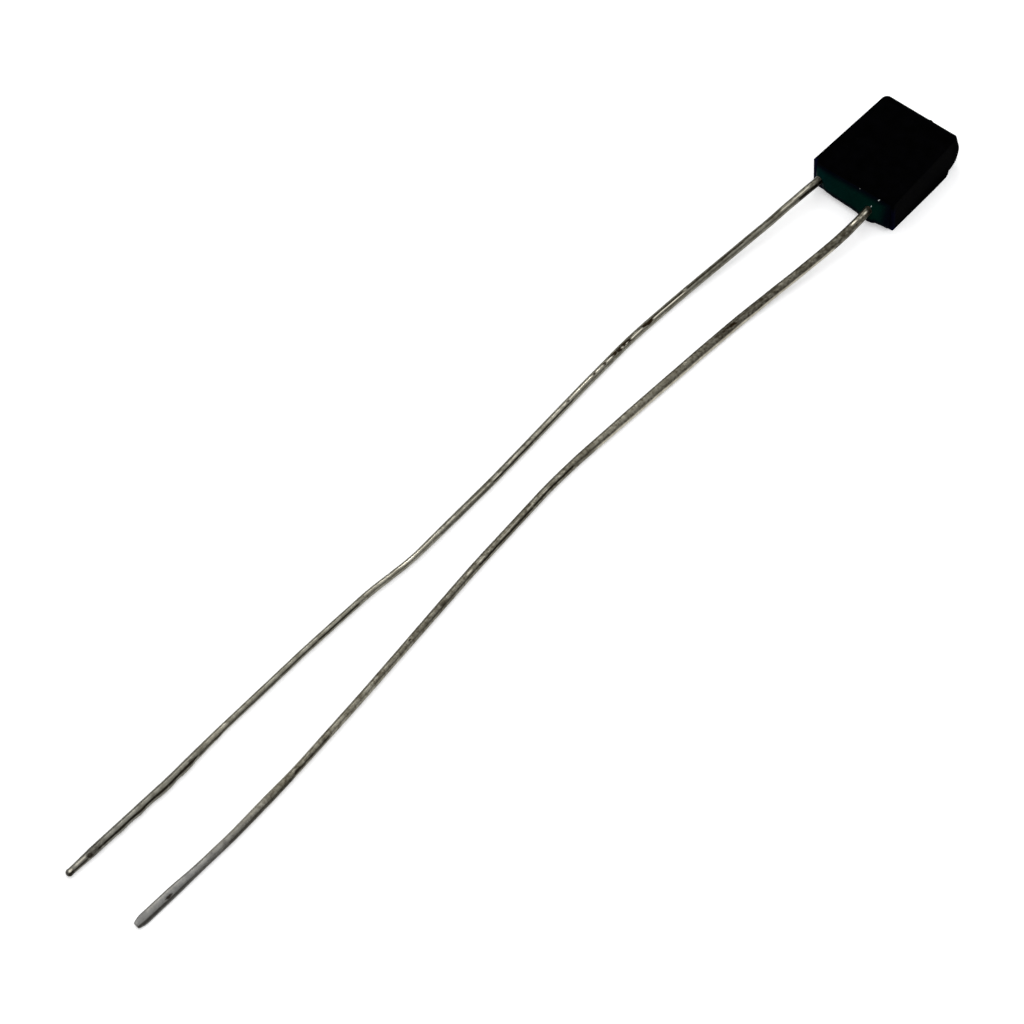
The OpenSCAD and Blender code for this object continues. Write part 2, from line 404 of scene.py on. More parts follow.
def resin_face(across, down):
    """A point of the resin's outer face: across from -1 to 1, down from 0 at the top to 1."""
    x = across * MOUTH_HALF
    sag, lip = along_table(SAG, x)
    floor = min(MOUTH_FLOOR, lip)
    z = MOUTH_TOP + (floor - MOUTH_TOP) * down
    hump = down ** HUMP_UP * (1 - down) ** HUMP_DOWN / HUMP_PEAK
    edge = (1 - abs(across)) * MOUTH_HALF
    swell = SWELL * smooth(down / SWELL_TOP_FADE) * smooth((1 - down) / SWELL_LOW_FADE)
    swell *= smooth(edge / SWELL_SIDE_FADE)
    wetting = WET_SIDE * math.exp(-edge / WET_SIDE_FADE)
    wetting += WET_TOP * math.exp(-(MOUTH_TOP - z) / WET_TOP_FADE)
    wave = WAVE * noise.noise(Vector((WAVE_PER_MM * x, 5, WAVE_PER_MM * z)))
    out = sag * hump + swell - wetting * smooth((1 - down) / LIP_EVEN)
    out += wave * smooth((1 - down) / WAVE_EVEN)
    for lead_x, share in COLLARS:
        gap = math.hypot(x - lead_x, z - LEAD_Z) - WIRE_R
        climb = COLLAR_H * share * math.exp(-max(0.0, gap) / COLLAR_FADE)
        if climb > COLLAR_LEAST:
            out = math.log(math.exp(BLEND * out) + math.exp(BLEND * climb) - 1) / BLEND
    return Vector((x, MOUTH_Y - out, z))


# The face's points lie closer together at its edges, and across it by this share
CLOSER = 0.35
points = []
for j in range(RESIN_DOWN + 1):
    down = 0.5 - 0.5 * math.cos(math.pi * j / RESIN_DOWN)
    for i in range(RESIN_ACROSS + 1):
        even = 2 * i / RESIN_ACROSS - 1
        across = CLOSER * math.sin(even * math.pi / 2) + (1 - CLOSER) * even
        points.append(resin_face(across, down))

# The rim's shade, painted on the resin: how far it reaches from each edge, and how it then fades
SHADE_TOP = (0.08, 0.5)
SHADE_FOOT = (0.5, 0.3)
SHADE_RIGHT = (0.05, 0.8)
SHADE_CORNER = (0.225, 0.525)


def in_shade(x, z):
    """How much of the rim's shade is painted on the resin: at its top, its foot, its right wall and
    its lower left corner."""
    low_left = math.hypot(x + MOUTH_HALF, max(0.0, z - MOUTH_FLOOR))
    return max(near(MOUTH_TOP - z, *SHADE_TOP), near(z, *SHADE_FOOT),
               near(MOUTH_HALF - x, *SHADE_RIGHT), near(low_left, *SHADE_CORNER))


def painted_glint(x, z):
    """How much painted glint lies on the resin at x, z."""
    level = 0.0
    across, up = GLINT_SLOPE
    for at_x, at_z, half_l, half_w in PAINTED_GLINTS:
        ahead = (across * (x - at_x) + up * (z - at_z)) / half_l
        aside = (up * (x - at_x) - across * (z - at_z)) / half_w
        level = max(level, near(math.hypot(ahead, aside), *GLINT_EDGE))
    return level


shaded = [in_shade(point.x, point.z) for point in points]
dusted = [painted_glint(point.x, point.z) for point in points]
width = RESIN_ACROSS + 1
faces = [(j * width + i, j * width + i + 1, (j + 1) * width + i + 1, (j + 1) * width + i)
         for j in range(RESIN_DOWN) for i in range(RESIN_ACROSS)]
border = (list(range(width))
          + [j * width + width - 1 for j in range(1, RESIN_DOWN + 1)]
          + [RESIN_DOWN * width + i for i in range(width - 2, -1, -1)]
          + [j * width for j in range(RESIN_DOWN - 1, 0, -1)])
# Behind its face the resin fills the mouth, in loops that follow the face's border back
BEHIND_LIP = 0.01
BEHIND_RIM = 0.2
outer = border
for y in (MOUTH_Y, MOUTH_Y + BEHIND_RIM, SEAL_Y):
    half_here = half_width(y) - WALL - RESIN_GAP
    loop = [len(points) + k for k in range(len(border))]
    for k in outer:
        back = y if y == SEAL_Y else max(y, points[k].y + BEHIND_LIP)
        x = max(-half_here, min(half_here, points[k].x * half_here / MOUTH_HALF))
        points.append(Vector((x, back, max(MOUTH_FLOOR, points[k].z))))
    faces += [(outer[k - 1], outer[k], loop[k], loop[k - 1]) for k in range(len(border))]
    outer = loop
faces.append(tuple(loop))
for values in (shaded, dusted):
    values += [values[border[k % len(border)]] for k in range(len(points) - len(values))]
resin = add_piece("epoxy_seal", points, faces, shaded=shaded, dusted=dusted)


def holes(y0, y1, r, sides=48):
    """Closed cylinders along Y where the two wires run, for cutting their holes."""
    made = []
    for x in (LEFT_X, RIGHT_X):
        turns = [math.tau * i / sides for i in range(sides)]
        rings = [[Vector((x + r * math.cos(a), y, LEAD_Z + r * math.sin(a))) for a in turns]
                 for y in (y0, y1)]
        made.append(add_piece("hole", *loft(rings)))
    return made


# The resin closes on the wires, so its holes are a little narrower than they are. What a cut
# leaves that is shorter than a sliver is welded.
HOLE_R = WIRE_R - 0.011
HOLE_SPARE = 1
SLIVER = 0.0025


def cut(piece, cutters):
    """Takes the cutters' solids out of the piece and removes the cutters. The cutting is done
    a thousand times larger, because the solver welds what lies closer than a micron."""
    for solid in [piece] + cutters:
        solid.data.transform(Matrix.Scale(1 / MM, 4))
    for cutter in cutters:
        tool = piece.modifiers.new("cut", "BOOLEAN")
        tool.operation, tool.solver, tool.object = "DIFFERENCE", "EXACT", cutter
    bpy.context.view_layer.update()
    shaped = piece.evaluated_get(bpy.context.evaluated_depsgraph_get())
    made = bpy.data.meshes.new_from_object(shaped)
    work = bmesh.new()
    work.from_mesh(made)
    bmesh.ops.remove_doubles(work, verts=work.verts, dist=SLIVER)
    bmesh.ops.triangulate(work, faces=[face for face in work.faces if len(face.verts) > 4])
    bmesh.ops.dissolve_degenerate(work, dist=SLIVER, edges=work.edges)
    work.to_mesh(made)
    work.free()
    made.transform(Matrix.Scale(MM, 4))
    piece.modifiers.clear()
    piece.data = made
    for cutter in cutters:
        bpy.data.objects.remove(cutter)


cut(resin, holes(MOUTH_Y - HOLE_SPARE, SEAL_Y + HOLE_SPARE, HOLE_R))

# Epoxy, dyed dark green and cast against air: a smooth skin that levels itself, with faint
# ripples about 0.5 mm apart and darker swirls of about 1.1 mm. It is lighter and more teal
# towards the left wall. Shade is painted on it as a blue black under the rim, at its foot and in
# its lower left corner.
RIPPLE_PER_M = 1 / (0.5 * MM)
SWIRL_PER_M = 1 / (1.1 * MM)
epoxy, tree = new_material("dark_green_epoxy_cast")
place = add_node(tree, "TexCoord").outputs["Object"]
swirl = add_node(tree, "TexNoise", {"Vector": place, "Scale": SWIRL_PER_M, "Detail": 3.0,
                                    "Distortion": 0.6})
ripple = add_node(tree, "TexNoise", {"Vector": place, "Scale": RIPPLE_PER_M, "Detail": 2.0})
sides = add_node(tree, "SeparateXYZ", {"Vector": place})
to_right = add_node(tree, "MapRange", {"Value": sides.outputs["X"], "From Min": -2.9 * MM,
                                       "From Max": 2.9 * MM})
clear = add_node(tree, "ValToRGB", {"Fac": to_right},
                 stops=[(0.02, linear("#00292a")), (0.25, linear("#001d19")),
                        (0.5, linear("#001d19")), (0.66, linear("#002019"))])
deep = add_node(tree, "Mix", {0: swirl, 6: clear, 7: linear("#001612")}, data_type="RGBA")
# The rim's shade is painted into the colour here
shade = add_node(tree, "Attribute", attribute_name="shaded")
under_rim = add_node(tree, "Mix", {0: shade.outputs["Fac"], 6: deep.outputs[2],
                                   7: linear("#01040b")}, data_type="RGBA")
# White glints are painted into the colour here as highlights
dust = add_node(tree, "Attribute", attribute_name="dusted")
with_glints = add_node(tree, "Mix", {0: dust.outputs["Fac"], 6: under_rim.outputs[2],
                               7: linear("#eef2ee")}, data_type="RGBA")
skin = add_node(tree, "Bump", {"Height": ripple, "Strength": 0.25, "Distance": 0.02 * MM})
shader = add_node(tree, "BsdfPrincipled",
                  {"Base Color": with_glints.outputs[2], "Roughness": 0.28, "IOR": 1.55,
                   "Specular IOR Level": 0.003, "Normal": skin})
add_node(tree, "OutputMaterial", {"Surface": shader})

resin.data.materials.append(epoxy)
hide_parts("sealing_resin")

# ------------------------------------------------------------------------------------ leads
# The leads are lengths of 0.55 mm copper wire, drawn and then tinned by dipping. Fingers and
# pliers bend them after the seal has set, which leaves long soft curves, flats and nicks.
# Streaks of highlight and shade are painted along them.

# Each row of a route is one bend: how far it lies across from the lead's hole, how far out of
# the mouth, its height (1 is level with the hole, 0 is lying on the table) and its radius. The
# last row is the tip.
LEFT_ROUTE = [
    (0, 0.8, 1, 5), (-1.45, 12.5, 0, 30), (-1.7, 17, 0, 40), (-1.6, 21.5, 0, 40),
    (-1.25, 31, 0, 60), (-1.2, 38.5, 0, 15), (-1.6, 42, 0, 15), (-1.8, 47.5, 0, 60),
    (-1.9, 55, 0, 40), (-1.8, 59.5, 0, 20), (-2.05, 68.4, 0, 0),
]
RIGHT_ROUTE = [
    (0, 0.8, 1, 5), (-0.1, 3.2, 0.8, 20), (-1.25, 11.5, 0, 30), (-1.55, 15.5, 0, 40),
    (-2.15, 26.5, 0, 40), (-2.2, 29, 0, 30), (-1.75, 37, 0, 60), (-0.85, 48, 0, 60),
    (-0.4, 55, 0, 60), (-0.25, 60.5, 0, 40), (-0.4, 68.6, 0, 0),
]
LEAD_TAIL = 2.5
TAIL_Y = SEAL_Y + LEAD_TAIL
WIRE_SIDES = 64
BEND_STEPS = 16
RING_STEP = 0.08
TIP_STEP = 0.03
TIP_LENGTH = 2.0
# Section of each wire along its length: distance out of the mouth, half its width, half its
# thickness, and how far it stands to the right of the route. Its wide side is rolled down
# towards the right.
ROLL = -math.radians(28)
LEFT_SECTION = [
    (-5, 0.275, 0.275, 0), (0.4, 0.275, 0.275, -0.02), (1.4, 0.275, 0.275, -0.045),
    (3, 0.265, 0.265, -0.03), (5, 0.26, 0.262, 0.02), (12, 0.257, 0.262, 0.03),
    (20, 0.255, 0.262, 0.035), (28, 0.25, 0.26, 0.02), (34, 0.245, 0.258, 0),
    (38.5, 0.22, 0.265, 0), (41, 0.225, 0.265, 0), (46, 0.23, 0.25, 0), (54, 0.23, 0.25, 0),
    (59, 0.288, 0.272, 0.01), (65, 0.288, 0.27, 0.01), (70, 0.272, 0.262, 0),
]
RIGHT_SECTION = [
    (-5, 0.275, 0.275, 0), (0.4, 0.275, 0.275, 0.01), (1.5, 0.285, 0.275, 0.065),
    (3, 0.305, 0.275, 0.085), (5, 0.31, 0.27, 0.11), (7, 0.308, 0.265, 0.105),
    (9, 0.313, 0.26, 0.07), (12, 0.33, 0.25, 0.045), (16, 0.326, 0.25, 0.055),
    (21, 0.317, 0.255, 0.033), (25, 0.292, 0.262, 0.03), (29, 0.28, 0.262, 0.045),
    (36, 0.28, 0.262, 0.015), (47, 0.25, 0.265, 0), (54, 0.25, 0.265, 0.01),
    (57.5, 0.29, 0.265, 0.02), (60, 0.285, 0.265, 0.02), (63, 0.285, 0.255, 0.01),
    (66, 0.35, 0.21, -0.03), (70, 0.36, 0.195, -0.045),
]


def centre_line(x, route):
    """Points along a lead's route, its bends rounded, from its inner end to its tip."""
    corners = [Vector((x, TAIL_Y, LEAD_Z))]
    for across, out, height, r in route:
        corners.append(Vector((x + across, MOUTH_Y - out, WIRE_R + height * (LEAD_Z - WIRE_R))))
    path = [corners[0]]
    for i in range(1, len(corners) - 1):
        into = (corners[i] - corners[i - 1]).normalized()
        onward = (corners[i + 1] - corners[i]).normalized()
        take = route[i - 1][3] * math.tan(into.angle(onward) / 2)
        start, end = corners[i] - into * take, corners[i] + onward * take
        for k in range(BEND_STEPS + 1):
            part = k / BEND_STEPS
            path.append(start.lerp(corners[i], part).lerp(corners[i].lerp(end, part), part))
    return path + [corners[-1]]


def walk(path):
    """Points at even steps along a path, closer together near its tip, each with its heading
    and its distance from the tip."""
    lengths = [0.0]
    for a, b in zip(path, path[1:]):
        lengths.append(lengths[-1] + (b - a).length)
    total, at, leg, steps = lengths[-1], 0.0, 0, []
    while at < total:
        while lengths[leg + 1] < at:
            leg += 1
        part = (at - lengths[leg]) / (lengths[leg + 1] - lengths[leg])
        here = path[leg].lerp(path[leg + 1], part)
        steps.append((here, (path[leg + 1] - path[leg]).normalized(), total - at))
        at += RING_STEP if total - at > TIP_LENGTH else TIP_STEP
    return steps


# How far the drawn surface wanders in and out, how rough it is where pits begin, and how much
# mottle and roughness dull it. The patterns are so many patches a millimetre, along the wire
# and around it.
WANDER_PER_MM = (0.35, 2)
ROUGH_PER_MM = (5.3, 10)
MOTTLE_PER_MM = (2.3, 7)
WANDER = 0.004
WANDER_DEEPER = 0.6
PIT_LEVEL = 0.05
DULL = 0.72
MOTTLE_SHARE = 0.1
ROUGH_SHARE = 0.2
# How much copper shows in the roughest spots, from how dull the tin is there
SPECK_STAIN = 0.25
SPECK_LEVEL = 0.1
SPECK_FADE = 0.3
SPECK_DULLNESS = 0.6
# How bright the smoothest spots are rubbed
SPECK_POLISH = 0.06
POLISH_LEVEL = 0.25
POLISH_FADE = 0.15
# A mark's outline is ragged, and the copper in it fades short of its edge. A streak drifts a
# little round the wire, and fades at its sides and ends.
MARK_REACH = 1.6
MARK_RAGGED = 0.5
RAGGED_PER_MM = 9
RAGGED_PER_RADIAN = 5
COPPER_REACH = 1.3
COPPER_FADE = 0.45
STREAK_DRIFT = 0.12
DRIFT_PER_MM = 0.8
STREAK_EDGE = 1.5
STREAK_FADE = 0.3
BEADS_PER_MM = 3.3
BEADS_SHARP = 4


def patches(spot, per_mm, apart):
    """An uneven pattern on the wire, from -1 to 1."""
    along, around = per_mm
    return noise.noise(Vector((along * spot.x, around * spot.y, around * spot.z + apart)))


def marked(out, angle, marks):
    """How deep the marks go here, and how much burnt copper shows in them."""
    deep, copper = 0.0, 0.0
    for mark_out, degrees, length, spread, depth, tint in marks:
        round_it = math.remainder(angle - math.radians(degrees), math.tau)
        reach = math.hypot((out - mark_out) / (length / 2), round_it / math.radians(spread / 2))
        ragged = noise.noise(Vector((RAGGED_PER_MM * out, RAGGED_PER_RADIAN * angle, mark_out)))
        reach += MARK_RAGGED * ragged
        deep += depth * smooth(MARK_REACH - reach)
        copper = max(copper, tint * smooth((COPPER_REACH - reach) / COPPER_FADE))
    return deep, copper


def painted_light(out, angle, streaks):
    """How much painted shade and how much painted highlight the streaks put on the tin here."""
    grime_and_painted_shade, painted_highlight = 0.0, 0.0
    for start, end, degrees, spread, strength, broken in streaks:
        drift = STREAK_DRIFT * noise.noise(Vector((DRIFT_PER_MM * out, degrees, start)))
        round_it = math.remainder(angle - math.radians(degrees) - drift, math.tau)
        level = smooth(STREAK_EDGE - abs(round_it) / math.radians(spread / 2))
        level *= smooth((out - start) / STREAK_FADE + 0.5) * smooth((end - out) / STREAK_FADE + 0.5)
        beads = noise.noise(Vector((BEADS_PER_MM * out, start, degrees)))
        level *= 1 - broken * smooth(0.5 - BEADS_SHARP * beads)
        grime_and_painted_shade, painted_highlight = max(grime_and_painted_shade, -strength * level), max(painted_highlight, strength * level)
    return grime_and_painted_shade, painted_highlight


def build_wire(name, x, route, section, tip_scale, marks, pitting, streaks):
    """The mesh of a lead: a swept section with flats, nicks and pits, its stains and its painted
    light.
    """
    rings, straight = [], []
    wear_and_painted_light = {"dull_and_painted_shade": [], "stained": [], "rubbed_and_painted_highlight": []}
    rest_z = 0.0
    for here, heading, to_tip in walk(centre_line(x, route)):
        out = MOUTH_Y - here.y
        wide, thick, shift = along_table(section, out)
        wide_scale, thick_scale = tip_scale(to_tip)
        wide, thick = wide * wide_scale, thick * thick_scale
        side = Vector((0, 0, 1)).cross(heading).normalized()
        up = heading.cross(side)
        support = math.hypot(wide * math.sin(ROLL), thick * math.cos(ROLL))
        rest_z = here.z - WIRE_R + support if to_tip > TIP_LENGTH else rest_z
        centre = Vector((here.x, here.y, rest_z)) + side * shift
        pits, dullness = along_table(pitting, out)
        marks_here = [row for row in marks if abs(out - row[0]) < MARK_REACH * row[2] / 2]
        streaks_here = [row for row in streaks
                        if row[0] - STREAK_FADE < out < row[1] + STREAK_FADE]
        ring = []
        for i in range(WIRE_SIDES):
            angle = math.tau * i / WIRE_SIDES
            turned = angle - ROLL
            r = wide * thick / math.hypot(thick * math.cos(turned), wide * math.sin(turned))
            spot = Vector((out, WIRE_R * math.cos(angle), WIRE_R * math.sin(angle)))
            rough = patches(spot, ROUGH_PER_MM, x)
            mottle = patches(spot, MOTTLE_PER_MM, 3 * x)
            deep, copper = marked(out, angle, marks_here)
            # The streaks paint highlights and shade on the tin at fixed places round the wire
            grime_and_painted_shade, painted_highlight = painted_light(out, angle, streaks_here)
            r -= WANDER * (patches(spot, WANDER_PER_MM, 7 * x) + WANDER_DEEPER)
            r -= pits * max(0.0, rough - PIT_LEVEL) + deep
            point = centre + (side * math.cos(angle) + up * math.sin(angle)) * r
            point.z = max(0.0, point.z)
            ring.append(point)
            straight.extend(spot)
            speck = smooth((rough - SPECK_LEVEL) / SPECK_FADE)
            speck *= SPECK_STAIN * smooth(2 * dullness - SPECK_DULLNESS)
            rubbed_and_painted_highlight = SPECK_POLISH * dullness * smooth((-rough - POLISH_LEVEL) / POLISH_FADE)
            dulled = dullness * (DULL + MOTTLE_SHARE * mottle + ROUGH_SHARE * rough)
            wear_and_painted_light["dull_and_painted_shade"].append(max(dulled, grime_and_painted_shade))
            wear_and_painted_light["stained"].append(max(speck, copper))
            wear_and_painted_light["rubbed_and_painted_highlight"].append(max(rubbed_and_painted_highlight, painted_highlight))
        rings.append(ring)
    piece = add_piece(name, *loft(rings), **wear_and_painted_light)
    layer = piece.data.attributes.new("straight", "FLOAT_VECTOR", "POINT")
    layer.data.foreach_set("vector", straight)
    return piece


# The left wire's tip is pinched to a neck, NECK_FROM bead radii from the end of its bead
BEAD_R = 0.242
BEAD_LEAST_R = 0.04
NECK_R = 0.225
NECK_L = 1.7
NECK_FROM = 1.4
NECK_STEP = 0.01


def bead_tip(to_tip):
    """How much of the left wire's width and thickness is left, this far from its tip."""
    if to_tip > BEAD_R + NECK_L:
        return 1, 1
    r = 0
    if to_tip > BEAD_R:
        swelling = smooth((to_tip - NECK_FROM * BEAD_R) / NECK_L)
        r = NECK_R + (WIRE_R - NECK_STEP - NECK_R) * swelling
    if to_tip < 2 * BEAD_R:
        r = max(r, BEAD_LEAST_R, math.sqrt(BEAD_R ** 2 - (to_tip - BEAD_R) ** 2))
    return r / WIRE_R, r / WIRE_R


# The right wire's tip was flattened by cutters, and is bevelled and rounded in outline
BEVEL_L = 0.75
BEVEL_SHARE = 0.62
ROUND_L = 0.12
ROUND_START = 0.002
ROUND_SHARE = 0.25
FLAT_L = 1.4
FLAT_SHARE = 0.55
TIP_LEAST = 0.1


def spade_tip(to_tip):
    """How much of the right wire's width and thickness is left, this far from its tip."""
    bevel = math.sin(math.pi / 2 * min(1.0, to_tip / BEVEL_L))
    edge = math.sqrt(1 - (1 - min(1.0, (to_tip + ROUND_START) / ROUND_L)) ** 2)
    wide = BEVEL_SHARE + (1 - BEVEL_SHARE) * bevel
    wide *= 1 - ROUND_SHARE + ROUND_SHARE * edge
    thick = edge * (FLAT_SHARE + (1 - FLAT_SHARE) * smooth(to_tip / FLAT_L))
    return max(TIP_LEAST, wide), max(TIP_LEAST, thick)


# Marks: distance out of the mouth, place round the wire in degrees (0 faces right, 90 up),
# length, spread in degrees, depth (below 0 for a lump), and how much burnt copper shows in it.
LEFT_MARKS = [
    (15.4, 66, 0.5, 50, 0.05, 1.2), (15.8, 78, 0.4, 45, 0.04, 1.2), (17.35, 64, 0.45, 50, 0.05, 1.2),
    (17.75, 80, 0.4, 50, 0.05, 1.2), (18.25, 70, 0.45, 55, 0.05, 1.2), (18.7, 82, 0.45, 50, 0.05, 1.2),
    (19.7, 80, 0.25, 40, 0.04, 1.1), (20.7, 82, 0.25, 36, 0.03, 1.0), (23.35, 82, 0.22, 34, 0.02, 0.8),
    (12.5, 60, 0.5, 30, 0.02, 0.5), (66.6, 44, 0.35, 70, 0.03, 0.8), (40.2, 120, 0.5, 60, 0.03, 0.0),
    (57.9, 50, 0.4, 40, 0.02, 0.5), (58.4, 8, 1.1, 70, -0.05, 0), (60.3, 4, 1.3, 80, -0.06, 0),
    (62.4, 10, 0.8, 60, -0.05, 0), (64, 2, 0.7, 60, -0.04, 0), (55.6, 8, 0.5, 50, -0.03, 0),
]
RIGHT_MARKS = [
    (12.45, 78, 0.6, 40, 0.03, 1.0), (13.1, 82, 0.7, 26, 0.02, 0.8), (40, 68, 0.45, 60, 0.02, 0.6),
    (43.3, 84, 0.18, 32, 0.05, 1.0), (52, 55, 0.3, 50, 0.02, 0.5), (53.3, 55, 0.3, 50, 0.02, 0.5),
    (54.6, 50, 0.6, 30, 0.02, 0.8), (65.95, 48, 0.5, 40, 0.02, 0.9), (3.0, 70, 0.3, 50, 0.02, 0.6),
    (0.5, 60, 0.3, 90, 0.03, 0.7), (1.2, 66, 0.2, 40, 0.02, 0.6), (5.2, 55, 0.5, 40, 0.02, 0.6),
]
# Pits and grime: distance out, depth of the pits, and how much grime dulls the tin
LEFT_PITS = [(-5, 0.0, 1.0), (0.8, 0.0, 1.0), (1.8, 0.0, 0.5), (3.4, 0.0, 0.25), (4.2, 0.01, 0.4),
             (11.8, 0.01, 0.4), (12.4, 0.004, 0.15), (20, 0.004, 0.2), (35, 0.004, 0.15),
             (52, 0.004, 0.12), (55.4, 0.004, 0.0), (58, 0.008, 0.3), (64.9, 0.008, 0.3),
             (66.2, 0.008, 0.85), (67.6, 0.008, 0.2), (70, 0.008, 0.2)]
RIGHT_PITS = [(-5, 0.0, 0.7), (0, 0.002, 0.7), (2.2, 0.004, 0.74), (12.5, 0.004, 0.84),
              (14.5, 0.004, 0.66), (20, 0.004, 0.34), (40, 0.004, 0.4), (46, 0.003, 0.15),
              (56, 0.002, 0.1), (70, 0.001, 0.05)]
# Painted streaks: where they start and end, place round the wire, spread, strength (above 0 for
# a painted highlight, below 0 for a painted dark line of shade), and how far they break into beads.
LEFT_PAINTED_STREAKS = [
    (0.15, 0.5, 104, 44, 0.2, 0), (1.3, 2.7, 77, 12, 0.5, 0), (2.7, 3.8, 70, 12, 0.4, 0.2),
    (0.2, 2.4, 20, 58, -1.0, 0),
    (3.6, 8.0, 92, 26, -0.9, 0.1), (7.0, 12.0, 86, 34, -1.0, 0), (12.2, 15.0, 64, 9, 1.0, 0),
    (12.2, 15.4, 88, 24, -1.0, 0), (16.1, 17.1, 67, 9, 1.0, 0), (17.5, 17.6, 62, 10, 1.0, 0),
    (17.98, 18.04, 64, 14, 1.0, 0), (18.9, 19.5, 74, 9, 1.0, 0), (15.4, 19.4, 96, 26, -0.9, 0.2),
    (19.8, 20.0, 80, 12, 0.7, 0), (20.15, 20.55, 79, 10, 0.9, 0), (20.85, 23.2, 82, 9, 0.8, 0.1),
    (23.6, 23.85, 80, 16, 0.5, 0), (24.1, 25.8, 74, 30, 0.25, 0.4), (25.8, 28.5, 70, 26, 0.2, 0.6),
    (28.5, 29.4, 72, 22, 0.4, 0.2), (30.1, 30.9, 64, 14, 0.5, 0.1), (31.2, 34.4, 66, 16, 0.35, 0.6),
    (27, 35.5, 94, 34, -0.6, 0.2), (23, 27, 42, 28, -0.8, 0), (27, 31, 36, 30, -0.9, 0),
    (31, 36, 21, 30, -0.75, 0), (36.3, 41.2, 80, 18, 0.3, 0), (38.3, 39.3, 80, 22, 0.6, 0),
    (41.2, 42.4, 82, 22, 0.2, 0.4), (34.4, 36.3, 74, 18, 0.3, 0.7), (43.0, 46.6, 40, 34, -0.9, 0),
    (46.6, 50, 32, 32, -0.8, 0), (50, 57.4, 25, 29, -0.85, 0), (57.4, 66, 38, 30, -1.0, 0),
    (54.6, 56.4, 72, 60, 0.12, 0),
    (57.4, 66, 62, 26, -0.3, 0), (66.8, 68, 26, 36, -0.9, 0), (66.9, 67.7, 78, 22, 0.5, 0.4),
    (67.9, 69, 5, 110, -1.0, 0), (68.3, 69, 62, 240, -0.9, 0), (68.05, 68.2, 76, 32, 1.0, 0),
]
RIGHT_PAINTED_STREAKS = [
    (0.75, 1.05, 64, 20, 0.8, 0), (1.25, 1.4, 72, 16, 0.7, 0), (1.7, 2.15, 82, 16, 0.9, 0),
    (8.5, 14.5, 100, 32, -0.85, 0.1), (11.2, 13.6, 64, 40, -0.7, 0.3), (4, 25, -4, 38, 0.45, 0.2),
    (23.8, 27, 42, 24, -0.6, 0), (27, 31, 42, 30, -1.0, 0), (31, 36.5, 38, 30, -1.0, 0),
    (36.5, 42, 40, 28, -0.7, 0), (27.5, 36.6, 70, 14, 0.3, 1.0), (42, 47, 44, 28, -0.5, 0.3),
    (37.0, 37.5, 74, 22, 0.5, 0), (36.0, 36.3, 70, 18, 0.5, 0), (37, 46, 78, 40, -0.3, 0.2),
    (51.5, 55, 34, 34, -0.8, 0), (55, 61, 18, 46, -0.85, 0), (60, 69, 8, 40, -0.75, 0),
    (52, 63, 128, 44, 0.2, 0), (62, 67.6, 132, 50, 0.08, 0),
]
left = build_wire("lead_wire_left", LEFT_X, LEFT_ROUTE, LEFT_SECTION, bead_tip,
                  LEFT_MARKS, LEFT_PITS, LEFT_PAINTED_STREAKS)
right = build_wire("lead_wire_right", RIGHT_X, RIGHT_ROUTE, RIGHT_SECTION, spade_tip,
                   RIGHT_MARKS, RIGHT_PITS, RIGHT_PAINTED_STREAKS)


# The die lines are so many a millimetre along the wire and each way across it. The tin has
# blotches of about 0.6 mm and specks of about 0.2 mm, and goes grey from one distance out of
# the mouth to the other.
DIE_LINES_PER_MM = (0.35, 16, 16)
BLOTCHES_PER_MM = 1.6
SPECKS_PER_MM = 5.5
GREY_FROM = 56.0
GREY_TO = 64.0


